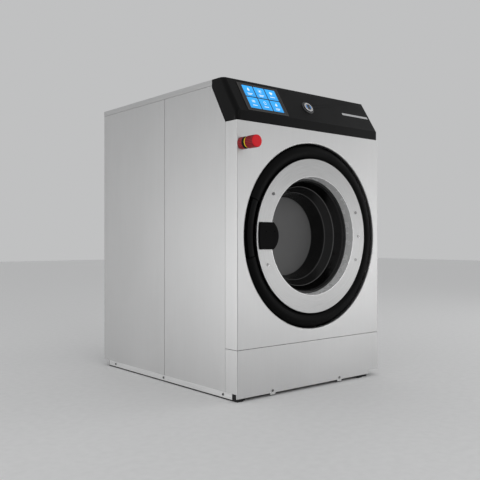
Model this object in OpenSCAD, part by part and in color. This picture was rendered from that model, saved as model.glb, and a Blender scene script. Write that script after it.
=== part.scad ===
// Commercial front-loading washing machine, hard mounted, with a round glass door.
// Origin: floor level, middle of the overall footprint. +Z is up and the door faces -Y.

/* [Cabinet] */
// width over the side panels
cab_w = 720; // [716:1:740]
// depth from the front panel to the back panel
cab_d = 880; // [870:1:920]
// height from the floor to the top panel
cab_h = 1070; // [1068:1:1080]
// sheet thickness of the outer panels
sheet_t = 1.5; // [1.2:0.1:1.8]
// bend radius of the front panel corners
bend_r = 4; // [3:0.5:9]
// height of the fascia's lower edge above the floor
fascia_z = 918.5; // [917:0.5:924]

/* [Door] */
// height of the door centre above the floor
door_z = 541.5; // [540:0.5:547]
// radius of the round opening in the front panel
opening_r = 329.5; // [329:0.5:332]
// outer radius of the black surround
surround_r = 324.5; // [323:0.5:325]
// outer radius of the steel door ring
ring_r = 275; // [274:0.5:275.5]
// inner radius of the steel door ring
ring_bore_r = 212.5; // [212:0.5:213]
// depth of the glass bowl behind the front panel
bowl_d = 165; // [150:1:170]

/* [Drum] */
// outer radius of the washing drum
drum_r = 290; // [280:1:294]
// length of the washing drum
drum_l = 480; // [460:1:485]
// number of lifters inside the drum
lifter_count = 3; // [3:1:4]

/* [Controls] */
// diameter of the jog knob
knob_dia = 38.4; // [37:0.1:38.6]
// diameter of the emergency stop head
estop_dia = 41; // [38:0.5:41]
// reach of the emergency stop in front of the panel
estop_out = 77; // [74:1:80]

/* [Services] */
// outside diameter of the drain outlet pipe
drain_dia = 75; // [70:1:76]
// reach of the rear pipes behind the back panel
pipe_out = 57; // [50:1:60]
// diameter of the floor anchor holes
anchor_dia = 14; // [12:0.5:16]

/* [Hidden] */
$fn = 96;
seam = 0.8;
half_w = cab_w / 2;
front_y = estop_out - (estop_out + cab_d + pipe_out) / 2;
back_y = front_y + cab_d;

// base frame
rail_w = 38;
rail_h = 70;
rail_t = 4;
rail_out_x = -half_w + 3.5;
rail_right_x = 301;
rail_rear_y = back_y - 40;
anchor_y = 385;
anchor_left_x = rail_out_x + rail_w / 2 + 2;
anchor_right_x = 282;
strip_z = 5;
strip_h = 20;
strip_screw_d = [74, 429, 783];
low_screw_x = [-202.3, 135];
low_screw_z = 18;
cover_screw_x = 235;
cover_screw_z = [350, 740];

// panels
return_d = 60;
seam_z = 168.4;
lower_z = 10.4;
notch_z = 24.8;
notch_x = 302.8;
side_z = 25;
lid_z = 1050;
lid_front_d = 132;
split_d = 420;
flange_w = 14;
roll_r = 5;
roll_d = 13;

// fascia: a vertical band, then a slope up to the top panel
band_h = 32.5;
slope_rise = cab_h - fascia_z - band_h;
slope_run = 73.6;
slope_a = atan2(slope_rise, slope_run);
fascia_wall = 3;
fascia_round = 16;
screen_x = -216;
screen_s = 65.5;
screen_w = 186;
screen_h = 121;
bezel_w = 5;
bezel_h = 1.5;
screen_back = 16;
knob_s = 62.5;
knob_floor = -0.5;
knob_bottom = 1.7;
knob_top = 7;
knob_dish = 6.4;
collar_bore_r = 19.7;
stem_r_knob = 3;

// emergency stop
estop_x = -339;
estop_z = 842;
estop_press = 5.5;
stem_r = 5;

// door section, in depths behind the front plane
crest_r = 301.25;
crest_arc = 30.1;
crest_d = 29.6;
skin_t = 2.5;
surround_in_r = 278;
surround_back = 26.5;
skirt_d = 16;
frame_r = 262;
frame_bore = 205;
frame_back = 48.5;
gasket_d0 = 30.5;
gasket_d1 = 46.5;
lip_t = 1.5;
lip_back_r = 206.5;
screw_r = 244;

// hinge: a vertical pin under the surround, at the right
hinge_x = 296;
hinge_d = 8;
knuckle_r = 5;
hinge_pin_r = 2.5;
run_gap = 0.05;
knuckle_in = 40;
knuckle_out = 70;
hinge_clear = 75;

// handle: a vertical pin under the hub, at the left
grip_a0 = 156.3;
grip_a1 = 193.9;
grip_r0 = 290;
grip_r1 = 314;
grip_back = 9;
handle_x = -255;
handle_d = 20;
handle_pin_r = 3;
lever_h = 16;
hub_x = -234;
hub_r = 56;
hub_half = 46;
hub_left_r = 266;
hub_t = 4;
hub_screws = [[-237, 14], [-198, 14]];

// tub and drive
tub_r = 318;
tub_t = 2;
tub_d0 = 75;
tub_d1 = 640;
tub_mouth = 216;
drum_d0 = 105;
drum_d1 = drum_d0 + drum_l;
drum_mouth = 196;
shaft_r = 25;
pulley_r = 150;
pulley_d0 = 770;
pulley_w = 34;
valve_x = -150;
valve_z = 150;
motor_x = 150;
motor_z = 150;
motor_pulley_r = 37.5;
belt_t = 4;
belt_gap = 0.4;
belt_steps = 40;

// dispenser in the top panel
disp_x = -180;
disp_w = 240;
disp_y0 = front_y + 180;
disp_l = 250;
disp_h = 118;
lid_t = 3;
lid_axis_z = cab_h - 5;
lid_pin_r = 2.5;
lid_axis_y = disp_y0 + disp_l - 8;

// colours
c_sheet = [0.78, 0.79, 0.79];
c_steel = [0.70, 0.71, 0.72];
c_dark = [0.16, 0.16, 0.17];
c_black = [0.07, 0.07, 0.08];
c_grey = [0.45, 0.46, 0.47];
c_red = [0.85, 0.10, 0.12];
c_yellow = [0.93, 0.80, 0.08];
c_rubber = [0.20, 0.20, 0.21];
c_glass = [0.30, 0.34, 0.36];
c_blue = [0.10, 0.30, 0.45];

// which sub-part to draw

// frame of a point on the front plane: local Z points out to the user, local Y is up
module on_front(x, z) {
    translate([x, front_y, z])
        rotate([90, 0, 0])
            children();
}

// frame of a point on the fascia slope: local Z is the outward normal, local Y runs up it
module on_slope(x, s) {
    translate([x, front_y + s * cos(slope_a), fascia_z + band_h + s * sin(slope_a)])
        rotate([slope_a, 0, 0])
            children();
}

// solid disc between two depths, in a front-plane frame
module disc(r, d0, d1) {
    translate([0, 0, -d1])
        cylinder(r = r, h = d1 - d0);
}

// hollow disc between two depths, in a front-plane frame
module washer(ro, ri, d0, d1) {
    difference() {
        disc(ro, d0, d1);
        disc(ri, d0 - 1, d1 + 1);
    }
}

// box between two corners
module block(a, b) {
    translate(a)
        cube([b[0] - a[0], b[1] - a[1], b[2] - a[2]]);
}

// box in the front-plane frame of the door, from depth d0 to d1
module door_block(x0, x1, z0, z1, d0, d1) {
    block([x0, z0, -d1], [x1, z1, -d0]);
}

// wedge that covers a range of angles, as a tall prism
module sector(a0, a1, r, d0, d1) {
    am = (a0 + a1) / 2;
    translate([0, 0, -d1])
        linear_extrude(height = d1 - d0)
            polygon([[0, 0], [r * cos(a0), r * sin(a0)], [r * cos(am) * 1.2, r * sin(am) * 1.2],
                     [r * cos(a1), r * sin(a1)]]);
}

// flat shape of a sheet bent to a U in plan, open to the back
module u_solid(w, depth, r) {
    translate([-w / 2 + r, 0])
        square([w - 2 * r, depth]);
    translate([-w / 2, r])
        square([w, depth - r]);
    for (side = [-1, 1])
        translate([side * (w / 2 - r), r])
            circle(r = r);
}

module u_sheet(z0, z1) {
    translate([0, front_y, z0])
        linear_extrude(height = z1 - z0)
            difference() {
                u_solid(cab_w, return_d, bend_r);
                translate([0, sheet_t])
                    u_solid(cab_w - 2 * sheet_t, return_d, bend_r - sheet_t);
            }
}

module base_frame() {
    rail_y0 = front_y + 10;
    rail_y1 = rail_rear_y;
    right_w = rail_right_x - 243;
    color(c_dark)
    difference() {
        union() {
            // left rail, a box section
            difference() {
                block([rail_out_x, rail_y0, 0], [rail_out_x + rail_w, rail_y1, rail_h]);
                block([rail_out_x + rail_t, rail_y0 - 1, rail_t],
                      [rail_out_x + rail_w - rail_t, rail_y1 + 1, rail_h - rail_t]);
            }
            // right rail, with a foot at its inner side
            difference() {
                block([243, rail_y0, 0], [rail_right_x, rail_y1, rail_h]);
                block([243 + rail_t, rail_y0 - 1, rail_t],
                      [rail_right_x - rail_t, rail_y1 + 1, rail_h - rail_t]);
            }
            // cross members
            for (y = [front_y + 60, -60, 150, rail_y1 - 60])
                difference() {
                    block([rail_out_x + rail_w, y, 14], [243, y + 50, rail_h]);
                    block([rail_out_x + rail_w - 1, y + rail_t, 14 + rail_t],
                          [244, y + 50 - rail_t, rail_h - rail_t]);
                }
            // outriggers that carry the right side panel
            for (y = [front_y + 80, rail_y1 - 60])
                block([rail_right_x, y, 30], [half_w - sheet_t, y + 40, 34]);
        }
        for (y = [-anchor_y, anchor_y]) {
            translate([anchor_left_x, y, -1])
                cylinder(d = anchor_dia, h = rail_t + 2);
            translate([anchor_right_x, y, -1])
                cylinder(d = anchor_dia, h = rail_t + 2);
            translate([anchor_left_x, y, rail_h - rail_t - 1])
                cylinder(d = 24, h = rail_t + 2);
            translate([anchor_right_x, y, rail_h - rail_t - 1])
                cylinder(d = 24, h = rail_t + 2);
        }
    }
    // stub pads that meet the lower front panel
    color(c_dark)
    for (x = [rail_out_x + 1, 243])
        block([x, front_y + 3, 0], [x + 24, rail_y0, 9]);
}

module plinth_strips() {
    y0 = front_y + 26.6;
    y1 = front_y + 834.7;
    color(c_sheet)
    difference() {
        union() {
            block([rail_out_x - 2, y0, strip_z], [rail_out_x, y1, strip_z + strip_h]);
            block([rail_right_x, y0, strip_z], [rail_right_x + 2, y1, strip_z + strip_h]);
        }
        for (d = strip_screw_d)
            translate([rail_out_x - 3, front_y + d, strip_z + strip_h / 2])
                rotate([0, 90, 0])
                    cylinder(r = 1.8, h = 4, $fn = 24);
    }
}

// pan-head screw with its head toward local +Z
module pan_screw(head_r, head_h, shank_l) {
    difference() {
        union() {
            cylinder(r = head_r, h = head_h, $fn = 32);
            translate([0, 0, -shank_l])
                cylinder(r = head_r * 0.4, h = shank_l + 0.1, $fn = 24);
        }
        for (turn = [0, 90])
            rotate([0, 0, turn])
                translate([-head_r * 0.55, -0.4, head_h - 0.7])
                    cube([head_r * 1.1, 0.8, 1]);
    }
}

module panel_screws() {
    color(c_steel) {
        for (d = strip_screw_d)
            translate([rail_out_x - 2, front_y + d, strip_z + strip_h / 2])
                rotate([0, -90, 0])
                    pan_screw(4.5, 1.5, 2);
        for (x = low_screw_x)
            on_front(x, low_screw_z)
                pan_screw(4.5, 1.5, 1.5);
        for (x = [-cover_screw_x, cover_screw_x])
            for (z = cover_screw_z)
                translate([x, back_y + 1.5, z])
                    rotate([-90, 0, 0])
                        pan_screw(5, 1.8, 3);
    }
}

// side sheet at the left, with flanges turned in at both ends
module side_sheet(d0, d1) {
    y0 = front_y + d0;
    y1 = front_y + d1;
    x0 = -half_w;
    block([x0, y0, side_z], [x0 + sheet_t, y1, lid_z - seam]);
    block([x0, y0, rail_h + 5], [x0 + flange_w, y0 + sheet_t, 900]);
    block([x0, y1 - sheet_t, rail_h + 5], [x0 + flange_w, y1, lid_z - 25]);
}

module side_front() {
    difference() {
        side_sheet(return_d + seam, split_d - seam);
        // clear the sloped end of the fascia
        translate([-half_w - 1, front_y, 0])
            rotate([90, 0, 90])
                linear_extrude(height = flange_w + 2)
                    polygon([[return_d - 1, fascia_z - 0.4], [return_d + 0.8, fascia_z - 0.4],
                             [lid_front_d + 1, cab_h - 26.6], [lid_front_d + 1, cab_h + 1],
                             [return_d - 1, cab_h + 1]]);
    }
}

module side_rear() {
    side_sheet(split_d + seam, cab_d - sheet_t - seam);
}

module side_left_front() {
    color(c_sheet)
        side_front();
}

module side_left_rear() {
    color(c_sheet)
        side_rear();
}

module side_right_front() {
    color(c_sheet)
        mirror([1, 0, 0])
            side_front();
}

module side_right_rear() {
    color(c_sheet)
        mirror([1, 0, 0])
            side_rear();
}

module front_panel() {
    color(c_sheet) {
        difference() {
            u_sheet(seam_z + seam, fascia_z - seam);
            on_front(0, door_z)
                disc(opening_r + roll_r, -2, 30);
            on_front(estop_x, estop_z)
                disc(11.3, -2, 8);
        }
        // edge of the opening, rolled inward
        on_front(0, door_z)
            rotate_extrude($fn = 128)
                difference() {
                    union() {
                        intersection() {
                            translate([opening_r + roll_r, -roll_r])
                                circle(r = roll_r);
                            translate([opening_r, -roll_r])
                                square([roll_r, roll_r]);
                        }
                        translate([opening_r, -roll_d])
                            square([sheet_t, roll_d - roll_r]);
                    }
                    translate([opening_r + roll_r, -roll_r])
                        circle(r = roll_r - sheet_t);
                }
    }
}

module lower_front_panel() {
    color(c_sheet) {
        difference() {
            u_sheet(lower_z, seam_z - seam);
            // the returns stop higher than the front face
            block([-half_w - 1, front_y + bend_r, 0], [half_w + 1, front_y + return_d + 1, side_z]);
            block([notch_x, front_y - 1, 0], [half_w + 1, front_y + return_d + 1, notch_z]);
            for (x = low_screw_x)
                on_front(x, low_screw_z)
                    translate([0, 0, -3])
                        cylinder(r = 1.8, h = 6, $fn = 24);
        }
        // tabs that hang below the two screws
        for (x = low_screw_x)
            block([x - 12, front_y, 4.5], [x + 12, front_y + sheet_t, lower_z]);
    }
}

module back_panel() {
    color(c_sheet)
    difference() {
        block([-half_w + sheet_t + seam, back_y - sheet_t, side_z],
              [half_w - sheet_t - seam, back_y, lid_z - seam]);
        block([-210, back_y - 3, 330], [210, back_y + 1, 760]);
        translate([-250, back_y - 3, 110])
            rotate([-90, 0, 0])
                cylinder(d = drain_dia + 6, h = 5);
        for (x = [70, 140])
            translate([x, back_y - 3, 985])
                rotate([-90, 0, 0])
                    cylinder(d = 30, h = 5);
        translate([270, back_y - 3, 985])
            rotate([-90, 0, 0])
                cylinder(d = 25, h = 5);
        for (row = [0 : 7])
            block([180, back_y - 3, 120 + row * 16], [300, back_y + 1, 126 + row * 16]);
        cover_screw_holes();
    }
}

module service_cover() {
    color(c_sheet)
    difference() {
        block([-245, back_y, 315], [245, back_y + 1.5, 775]);
        for (row = [0 : 9])
            for (side = [-1, 1])
                block([side * 100 - 60, back_y - 1, 420 + row * 18],
                      [side * 100 + 60, back_y + 3, 426 + row * 18]);
        cover_screw_holes();
    }
}

module cover_screw_holes() {
    for (x = [-cover_screw_x, cover_screw_x])
        for (z = cover_screw_z)
            translate([x, back_y - 4, z])
                rotate([-90, 0, 0])
                    cylinder(r = 2.1, h = 8, $fn = 24);
}

module top_panel() {
    y0 = front_y + lid_front_d;
    color(c_sheet)
    difference() {
        block([-half_w, y0 + seam, lid_z], [half_w, back_y, cab_h]);
        block([-half_w + sheet_t, y0 + sheet_t + seam, lid_z - 1],
              [half_w - sheet_t, back_y - sheet_t, cab_h - sheet_t]);
        block([disp_x - disp_w / 2, disp_y0, cab_h - 4],
              [disp_x + disp_w / 2, disp_y0 + disp_l, cab_h + 1]);
    }
}

// outline of the fascia seen from the side: depth, height; inset moves the faces inward
module fascia_outline(inset) {
    top = slope_rise + band_h;
    polygon([[inset, 0.5 + inset], [return_d + 0.4, 0.5 + inset],
             [lid_front_d - seam - inset, top - 26],
             [lid_front_d - seam - inset, top - inset],
             [slope_run + inset * 0.6, top - inset],
             [inset, band_h + inset * 0.55]]);
}

// fascia volume with rounded ends, inset from the outer skin
module fascia_volume(inset) {
    w = cab_w - 2 * inset;
    r = fascia_round - inset;
    intersection() {
        translate([-w / 2, front_y, fascia_z])
            rotate([90, 0, 90])
                linear_extrude(height = w)
                    fascia_outline(inset);
        // round the ends of the slope
        on_slope(0, 0)
            translate([0, -80, 0])
                rotate([-90, 0, 0])
                    linear_extrude(height = 400)
                        translate([0, inset])
                            u_solid(w, 300, r);
        // round the ends of the vertical band
        translate([0, front_y + inset, fascia_z - 1])
            linear_extrude(height = 300)
                u_solid(w, 300, r);
    }
}

module fascia() {
    color(c_black)
    difference() {
        fascia_volume(0);
        // hollow inside, open to the rear and below
        difference() {
            fascia_volume(fascia_wall);
            on_slope(0, knob_s)
                translate([0, 0, -14])
                    cylinder(r = 32, h = 20);
        }
        block([-half_w + 30, front_y + 70, fascia_z + 4],
              [half_w - 30, front_y + lid_front_d + 1, cab_h - 8]);
        // seats of the display and the knob
        on_slope(screen_x, screen_s)
            translate([-screen_w / 2 + bezel_w, -screen_h / 2 + bezel_w, -8])
                cube([screen_w - 2 * bezel_w, screen_h - 2 * bezel_w, 20]);
        on_slope(0, knob_s)
            translate([0, 0, -16])
                cylinder(r = 8, h = 30);
        on_slope(0, knob_s)
            translate([0, 0, -1.5])
                cylinder(r = 25, h = 10);
    }
}

module display_bezel() {
    color(c_grey)
    on_slope(screen_x, screen_s)
        difference() {
            translate([-screen_w / 2, -screen_h / 2, 0.01])
                cube([screen_w, screen_h, bezel_h]);
            translate([-screen_w / 2 + bezel_w, -screen_h / 2 + bezel_w, -1])
                cube([screen_w - 2 * bezel_w, screen_h - 2 * bezel_w, bezel_h + 2]);
        }
}

module display_screen() {
    color(c_blue)
    on_slope(screen_x, screen_s) {
        // glass, a little smaller than the window of the bezel
        translate([-screen_w / 2 + bezel_w + 0.1, -screen_h / 2 + bezel_w + 0.1, -2])
            cube([screen_w - 2 * bezel_w - 0.2, screen_h - 2 * bezel_w - 0.2, bezel_h + 1.5]);
        // housing of the display behind the glass
        translate([-screen_w / 2 + 2 * bezel_w, -screen_h / 2 + 2 * bezel_w, -screen_back])
            cube([screen_w - 4 * bezel_w, screen_h - 4 * bezel_w, screen_back - 2]);
    }
}

module knob_collar() {
    color(c_grey)
    on_slope(0, knob_s)
        rotate_extrude($fn = 96)
            union() {
                // floor under the cap
                translate([stem_r_knob + run_gap, -1.5])
                    square([24.8 - stem_r_knob - run_gap, knob_floor + 1.5]);
                // rim around the cap
                translate([collar_bore_r, knob_floor - 0.5])
                    square([24.8 - collar_bore_r, 2]);
                translate([collar_bore_r, 0.01])
                    square([6.3, 1.5]);
                translate([collar_bore_r + 1.5, 0.5])
                    square([3.3, 2.5]);
                translate([collar_bore_r + 1.5, 1.5])
                    circle(r = 1.5);
                translate([collar_bore_r + 4.8, 1.5])
                    circle(r = 1.49);
            }
}

module knob_stem() {
    color(c_steel)
    on_slope(0, knob_s)
        translate([0, 0, -30])
            cylinder(r = stem_r_knob, h = 30 + knob_top - 1.6, $fn = 48);
}

module knob() {
    cap_r = knob_dia / 2;
    color(c_steel)
    on_slope(0, knob_s)
        rotate_extrude($fn = 96)
            difference() {
                union() {
                    translate([0, knob_bottom])
                        square([cap_r, knob_top - knob_bottom - 1]);
                    translate([0, knob_top - 2])
                        square([cap_r - 1, 2]);
                    translate([cap_r - 1, knob_top - 1])
                        circle(r = 1);
                }
                // dished middle of the cap
                translate([0, knob_dish])
                    square([cap_r - 6, 4]);
                // bore for the stem
                translate([0, knob_bottom - 1])
                    square([stem_r_knob + run_gap, knob_top - 1.5 - knob_bottom + 1]);
            }
}

module estop_base() {
    color(c_red)
    on_front(estop_x, estop_z)
        difference() {
            union() {
                cylinder(r = 20, h = 21);
                translate([0, 0, 21])
                    cylinder(r1 = 20, r2 = 17.5, h = 4);
                // threaded neck through the panel
                disc(11, 0, 14);
            }
            translate([0, 0, -20])
                cylinder(r = stem_r + run_gap, h = 60);
        }
}

module estop_collar() {
    color(c_yellow)
    on_front(estop_x, estop_z)
        difference() {
            translate([0, 0, 25.5 + estop_press])
                cylinder(r = 18.5, h = 34.7 - 25.5 - estop_press);
            translate([0, 0, 24])
                cylinder(r = stem_r + 0.02, h = 20);
        }
}

module estop_stem() {
    color(c_dark)
    on_front(estop_x, estop_z)
        translate([0, 0, -24])
            cylinder(r = stem_r, h = 84);
}

module estop_head() {
    head_r = estop_dia / 2;
    color(c_red)
    on_front(estop_x, estop_z)
        difference() {
            rotate_extrude($fn = 96)
                union() {
                    translate([0, 35])
                        square([head_r - 1.5, estop_out - 37]);
                    translate([0, 37])
                        square([head_r, estop_out - 42]);
                    translate([0, estop_out - 5])
                        square([head_r - 5, 5]);
                    translate([head_r - 5, estop_out - 5])
                        circle(r = 5);
                }
            translate([0, 0, 30])
                cylinder(r = stem_r + run_gap, h = 30.2);
            // grooves for the fingers
            for (turn = [0 : 15 : 345])
                rotate([0, 0, turn])
                    translate([head_r + 1.1, 0, 39])
                        cylinder(r = 1.8, h = estop_out - 50, $fn = 16);
        }
}

module estop_contacts() {
    color(c_dark)
    on_front(estop_x, estop_z) {
        // lock nut behind the panel
        washer(15, 11.05, sheet_t + 0.05, 6);
        door_block(-14, 16, -20, 20, 34, 58);
        for (side = [-1, 1])
            door_block(side * 14 - 1, side * 14 + 1, -10, 10, 6, 34);
    }
}

// section of the black surround: radius, minus depth
module surround_section() {
    difference() {
        intersection() {
            translate([crest_r, -crest_d])
                circle(r = crest_arc);
            translate([surround_in_r, -surround_back])
                square([surround_r - surround_in_r, surround_back + 2]);
        }
        translate([crest_r, -crest_d])
            intersection() {
                circle(r = crest_arc - skin_t);
                translate([surround_in_r + skin_t - crest_r, -10])
                    square([surround_r - surround_in_r - 2 * skin_t, 60]);
            }
        // the outer skirt is short
        translate([surround_in_r + skin_t, -crest_d - 20])
            square([60, crest_d + 20 - skirt_d]);
    }
    // flange that carries the surround on the door frame
    translate([frame_r, -surround_back])
        square([surround_in_r + skin_t - frame_r, skin_t]);
}

module door_surround() {
    on_front(0, door_z)
    color(c_black) {
        difference() {
            rotate_extrude($fn = 128)
                surround_section();
            // space for the hinge
            door_block(245, 335, -hinge_clear, hinge_clear, 11.2, 60);
            // space for the handle grip
            intersection() {
                washer(surround_r - 2.5, surround_in_r + skin_t, -3, 23);
                sector(grip_a0, grip_a1, 420, -3, 23);
            }
            // slot for the lever and the latch hook
            door_block(-292, -250, -20, 20, 11, 23.9);
            door_block(-290, -255, -13, 13, 20, 40);
        }
        // floor and end walls of the grip pocket
        difference() {
            intersection() {
                washer(surround_r, surround_in_r, skirt_d - 5, surround_back);
                sector(grip_a0 - 0.6, grip_a1 + 0.6, 420, 0, 40);
            }
            intersection() {
                washer(surround_r - 2.5, surround_in_r + skin_t, 0, surround_back - skin_t);
                sector(grip_a0, grip_a1, 420, 0, 40);
            }
            door_block(-292, -250, -20, 20, 11, 23.9);
            door_block(-290, -255, -13, 13, 20, 40);
        }
    }
}

module door_ring() {
    color(c_steel)
    on_front(0, door_z)
        difference() {
            union() {
                washer(ring_r, ring_bore_r, 0, 2);
                washer(ring_r, ring_r - 2, 1, 9);
            }
            for (turn = [0, 21.5, -21.5, 144.3, 203.6])
                rotate([0, 0, turn])
                    translate([screw_r, 0, -3])
                        cylinder(r = 3.2, h = 5, $fn = 32);
        }
}

module door_lip() {
    color(c_steel)
    on_front(0, door_z) {
        rotate_extrude($fn = 128)
            polygon([[ring_bore_r - 0.02, 0], [ring_bore_r - 0.02, -4],
                     [lip_back_r + lip_t, -gasket_d0], [lip_back_r, -gasket_d0],
                     [ring_bore_r - lip_t, -3], [ring_bore_r - lip_t, 0]]);
        washer(218, lip_back_r + 1, gasket_d0 - lip_t, gasket_d0);
    }
}

module door_frame() {
    color(c_grey)
    on_front(0, door_z)
        difference() {
            union() {
                washer(frame_r, frame_r - 2, 2, frame_back);
                washer(frame_r - 1, frame_bore, frame_back - 2, frame_back);
                // ribs between the front ring and the back flange
                for (turn = [30 : 30 : 330])
                    if (turn != 180)
                        rotate([0, 0, turn + 7])
                            door_block(222, frame_r - 1, -1.5, 1.5, 7, frame_back - 1);
            }
            door_block(230, 270, -41, 41, -1, 20);
            door_block(-270, -240, -22, 22, 6, 32);
        }
}

module door_gasket() {
    color(c_rubber)
    on_front(0, door_z)
        difference() {
            washer(216, 200, gasket_d0, gasket_d1);
            // groove for the edge of the glass
            washer(212.3, 190, 35.9, 42.1);
            washer(207, 190, 40, 50);
        }
}

module door_glass() {
    color(c_glass)
    on_front(0, door_z)
        rotate_extrude($fn = 128)
            polygon([[199, -36], [212.2, -36], [212.2, -42], [203, -42], [187.5, -72], [166.5, -102],
                     [152, -bowl_d], [0, -bowl_d], [0, 7 - bowl_d], [146, 7 - bowl_d],
                     [160, -100], [181, -70]]);
}

module door_screws() {
    color(c_steel)
    on_front(0, door_z)
        for (turn = [0, 21.5, -21.5, 144.3, 203.6])
            rotate([0, 0, turn])
                translate([screw_r, 0, 0])
                    pan_screw(5.5, 1.6, 8);
}

module hinge_leaf() {
    color(c_steel)
    on_front(0, door_z) {
        difference() {
            union() {
                // plate behind the steel ring
                intersection() {
                    washer(257, 216, 2, 6);
                    door_block(150, 300, -100, 100, 0, 10);
                }
                // neck that steps back under the surround
                door_block(248, 256, -knuckle_in, knuckle_in, 5, 17);
                door_block(250, 300, -knuckle_in, knuckle_in, 13, 17);
                door_block(292, 300, -knuckle_in, knuckle_in, 8, 15);
                translate([hinge_x, -knuckle_in, -hinge_d])
                    rotate([-90, 0, 0])
                        cylinder(r = knuckle_r, h = 2 * knuckle_in, $fn = 48);
            }
            translate([hinge_x, -knuckle_in - 1, -hinge_d])
                rotate([-90, 0, 0])
                    cylinder(r = hinge_pin_r, h = 2 * knuckle_in + 2, $fn = 48);
            for (turn = [0, 21.5, -21.5])
                rotate([0, 0, turn])
                    translate([screw_r, 0, -8])
                        cylinder(r = 2.2, h = 9, $fn = 32);
        }
    }
}

module hinge_pin() {
    color(c_steel)
    on_front(hinge_x, door_z)
        translate([0, -knuckle_out - 2, -hinge_d])
            rotate([-90, 0, 0])
                cylinder(r = hinge_pin_r, h = 2 * knuckle_out + 4, $fn = 48);
}

module hinge_bracket() {
    knuckle_l = knuckle_out - knuckle_in - 1;
    color(c_dark)
    on_front(0, door_z)
        difference() {
            union() {
                for (side = [-1, 1]) {
                    mid = side * (knuckle_in + 1 + knuckle_l / 2);
                    translate([hinge_x, mid - knuckle_l / 2, -hinge_d])
                        rotate([-90, 0, 0])
                            cylinder(r = knuckle_r, h = knuckle_l, $fn = 48);
                    door_block(278, hinge_x + 1, mid - knuckle_l / 2, mid + knuckle_l / 2, 11.8, 15.8);
                    door_block(278, 286, mid - knuckle_l / 2, mid + knuckle_l / 2, 12, 46);
                }
                // plate that ties both arms to the post in the corner of the cabinet
                door_block(278, 356, -knuckle_out, knuckle_out, 41, 46);
                door_block(341, half_w - sheet_t, -140, 140, 18, 46);
            }
            translate([hinge_x, -knuckle_out - 5, -hinge_d])
                rotate([-90, 0, 0])
                    cylinder(r = hinge_pin_r + run_gap, h = 2 * knuckle_out + 10, $fn = 48);
        }
}

module handle_grip() {
    color(c_black)
    on_front(0, door_z) {
        // bar that continues the crest of the surround
        intersection() {
            rotate_extrude($fn = 128)
                intersection() {
                    translate([crest_r, -crest_d])
                        circle(r = crest_arc);
                    translate([grip_r0, -grip_back])
                        square([grip_r1 - grip_r0, grip_back + 2]);
                }
            sector(grip_a0 + 0.5, grip_a1 - 0.5, 420, -5, 30);
        }
        difference() {
            union() {
                // lever from the bar to the pivot
                door_block(-306, -296, -lever_h, lever_h, 7, 21.5);
                door_block(-306, handle_x, -lever_h, lever_h, 18, 21.5);
                translate([handle_x, -lever_h, -handle_d])
                    rotate([-90, 0, 0])
                        cylinder(r = 6, h = 2 * lever_h, $fn = 48);
            }
            translate([handle_x, -lever_h - 1, -handle_d])
                rotate([-90, 0, 0])
                    cylinder(r = handle_pin_r + run_gap, h = 2 * lever_h + 2, $fn = 48);
        }
    }
}

module door_pins() {
    hinge_pin();
    handle_pin();
}

module handle_pin() {
    color(c_steel)
    on_front(handle_x, door_z)
        translate([0, -lever_h - 4, -handle_d])
            rotate([-90, 0, 0])
                cylinder(r = handle_pin_r, h = 2 * lever_h + 8, $fn = 48);
}

// outline of the hub: the left side follows the steel ring, the right end is round
module hub_outline(inset) {
    half = hub_half - inset;
    intersection() {
        circle(r = hub_left_r - inset);
        translate([-290, -half])
            square([290 + hub_x, 2 * half]);
    }
    intersection() {
        translate([hub_x, 0])
            circle(r = hub_r - inset);
        translate([hub_x - 14, -half])
            square([hub_r + 14, 2 * half]);
    }
}

module handle_hub() {
    color(c_black)
    on_front(0, door_z) {
        difference() {
            union() {
                linear_extrude(height = hub_t)
                    hub_outline(0);
                translate([0, 0, hub_t])
                    linear_extrude(height = 0.8)
                        hub_outline(1.2);
            }
            // notches above and below
            for (side = [-1, 1])
                translate([-246, side * (hub_half + 2), -1])
                    cylinder(r = 4, h = hub_t + 4, $fn = 32);
            // recesses of the two fixing screws
            for (spot = hub_screws)
                translate([spot[0], spot[1], hub_t - 0.6])
                    cylinder(r = 2.6, h = 4, $fn = 32);
        }
        // bearing cheeks for the handle pin, behind the steel ring
        for (side = [-1, 1])
            difference() {
                door_block(-259, -246, side * (lever_h + 2.5) - 2, side * (lever_h + 2.5) + 2, 2, 26);
                translate([handle_x, side * (lever_h + 2.5) - 3, -handle_d])
                    rotate([-90, 0, 0])
                        cylinder(r = handle_pin_r, h = 6, $fn = 48);
            }
    }
}

module latch_hook() {
    color(c_steel)
    on_front(0, door_z) {
        door_block(-274, -269, -8, 8, 21.5, 68);
        door_block(-274, -262, -8, 8, 61, 68);
    }
}

module door_lock() {
    color(c_dark)
    on_front(0, door_z) {
        // striker plate with a window for the latch hook
        difference() {
            door_block(flange_w - half_w, -257, -26, 26, 52, 58);
            door_block(-289, -261, -12, 12, 50, 60);
        }
        door_block(flange_w - half_w, -296, -55, 55, 58, 74);
        door_block(flange_w - half_w, -330, -55, 55, 74, 100);
    }
}

module tub_shell() {
    color(c_steel)
    on_front(0, door_z) {
        washer(tub_r, tub_r - tub_t, tub_d0, tub_d1);
        for (d = [200, 380, 560])
            washer(tub_r + 8, tub_r - 0.5, d, d + 6);
    }
}

module tub_ends() {
    color(c_steel)
    on_front(0, door_z) {
        washer(tub_r - tub_t, tub_mouth, tub_d0, tub_d0 + 2);
        washer(tub_mouth + 2, tub_mouth, tub_d0, tub_d0 + 12);
        washer(tub_r - tub_t, 70, tub_d1 - 4, tub_d1);
        // ribs that carry the bearing housing
        for (turn = [0 : 60 : 300])
            rotate([0, 0, turn])
                door_block(95.5, 300, -6, 6, tub_d1, tub_d1 + 40);
    }
}

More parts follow.
